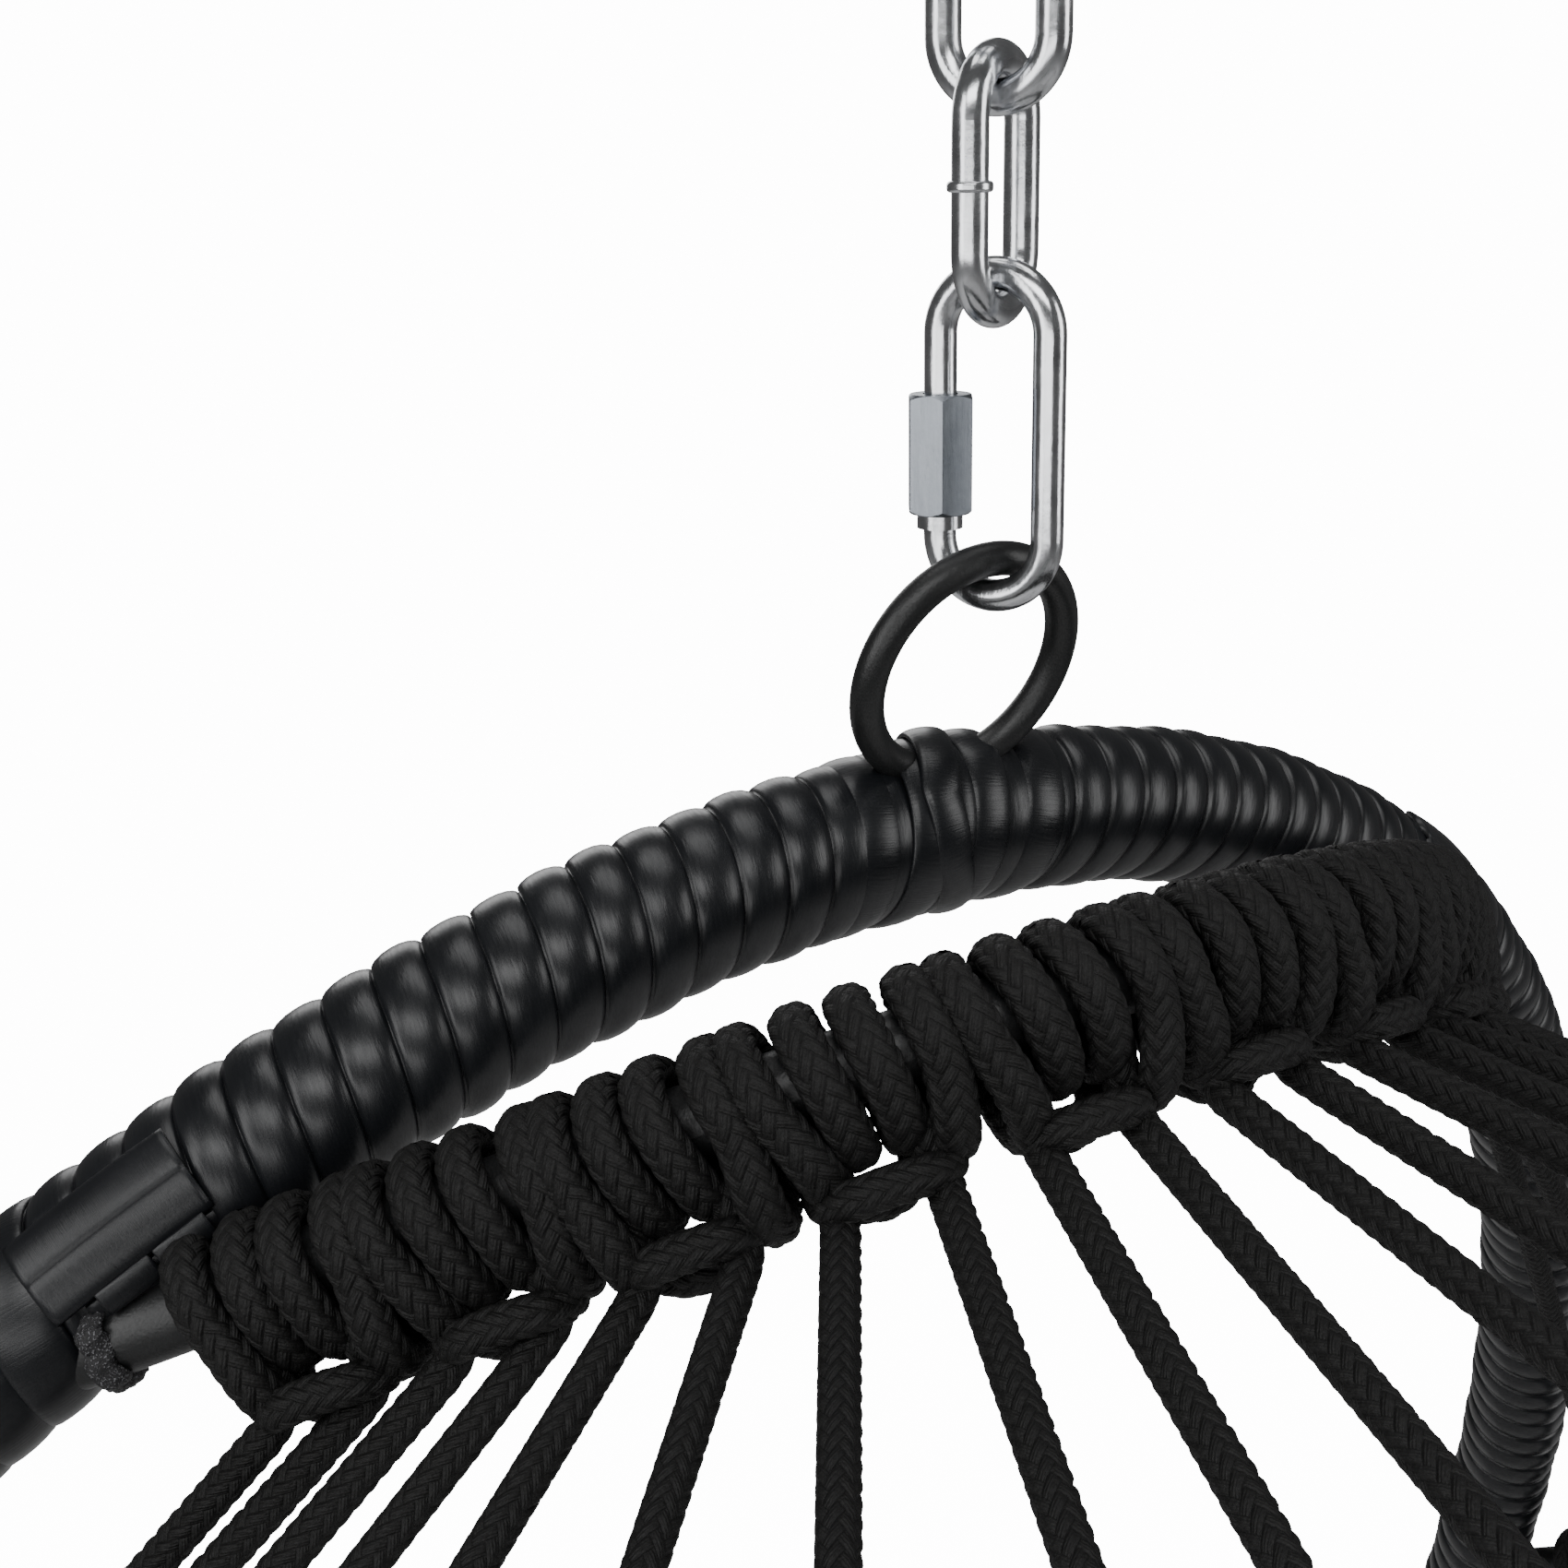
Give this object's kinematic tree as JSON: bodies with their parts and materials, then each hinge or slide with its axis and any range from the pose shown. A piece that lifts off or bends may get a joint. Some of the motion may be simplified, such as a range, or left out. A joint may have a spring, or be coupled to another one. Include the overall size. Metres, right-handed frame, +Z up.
{
  "type": "hanging egg chair",
  "caption": "Reclined egg-shaped steel hoop wrapped in flat strip, with a bent top bar and back rails strung with knotted cord, on a ring, quick link and chain.",
  "frame": {"origin": "hanging point: where a hook bears inside the top chain link", "axes": "+Z up along the chain, +X across the hoop, +Y towards the chair's back; the open side faces -Y"},
  "size_m": [0.9972, 0.961, 1.4152],
  "materials": {
    "zinc": "bright zinc plate",
    "nut_zinc": "dull zinc plate",
    "black_steel": "satin black powder coat",
    "wicker": "glossy black flat strip",
    "cord": "braided black cord"
  },
  "bodies": {
    "top_link": {"chain_link_1": "zinc"},
    "link_2": {"chain_link_2": "zinc"},
    "link_3": {"chain_link_3": "zinc"},
    "link_4": {"chain_link_4": "zinc"},
    "link_5": {"chain_link_5": "zinc"},
    "quick_link": {"quick_link_body": "zinc"},
    "nut": {"quick_link_nut": "nut_zinc"},
    "chair": {"hanging_ring": "black_steel", "hoop_tube": "black_steel", "hoop_wrap": "wicker", "joint_strip_left": "wicker", "joint_strip_right": "wicker", "lower_back_cords": "cord", "lower_rail": "black_steel", "lower_rail_turns": "cord", "middle_back_cords": "cord", "ring_binding_left": "wicker", "ring_binding_right": "wicker", "ring_weld": "black_steel", "seat_cords": "cord", "seat_front_bar": "black_steel", "seat_rail": "black_steel", "seat_rail_turns": "cord", "top_bar": "black_steel", "top_knot_01": "cord", "top_knot_02": "cord", "top_knot_03": "cord", "top_knot_04": "cord", "top_knot_05": "cord", "top_knot_06": "cord", "top_knot_07": "cord", "top_knot_08": "cord", "top_knot_09": "cord", "top_knot_10": "cord", "top_knot_11": "cord", "upper_back_cords": "cord", "upper_rail": "black_steel", "upper_rail_turns": "cord"}
  },
  "joints": [
    {"name": "chain_twist", "type": "hinge", "parent": "top_link", "child": "link_2", "pos_m": [0, 0, -0.049], "axis": [0, 0, 1], "range_deg": [-20, 20]},
    {"name": "link_3_swing", "type": "hinge", "parent": "link_2", "child": "link_3", "pos_m": [0, 0, -0.0937], "axis": [-0.4226, 0.9063, 0], "range_deg": [-25, 25]},
    {"name": "link_4_swing", "type": "hinge", "parent": "link_3", "child": "link_4", "pos_m": [0, 0, -0.1384], "axis": [0.9063, 0.4226, 0], "range_deg": [-25, 25]},
    {"name": "link_5_swing", "type": "hinge", "parent": "link_4", "child": "link_5", "pos_m": [0, 0, -0.1831], "axis": [-0.4226, 0.9063, 0], "range_deg": [-25, 25]},
    {"name": "quick_link_swing", "type": "hinge", "parent": "link_5", "child": "quick_link", "pos_m": [0, 0, -0.2278], "axis": [0.9063, 0.4226, 0], "range_deg": [-25, 25]},
    {"name": "nut_travel", "type": "slide", "parent": "quick_link", "child": "nut", "axis": [0, 0, 1], "range_m": [0, 0.012]},
    {"name": "chair_swing", "type": "hinge", "parent": "quick_link", "child": "chair", "pos_m": [0, 0, -0.2914], "axis": [-0.4226, 0.9063, 0], "range_deg": [-25, 25]}
  ]
}
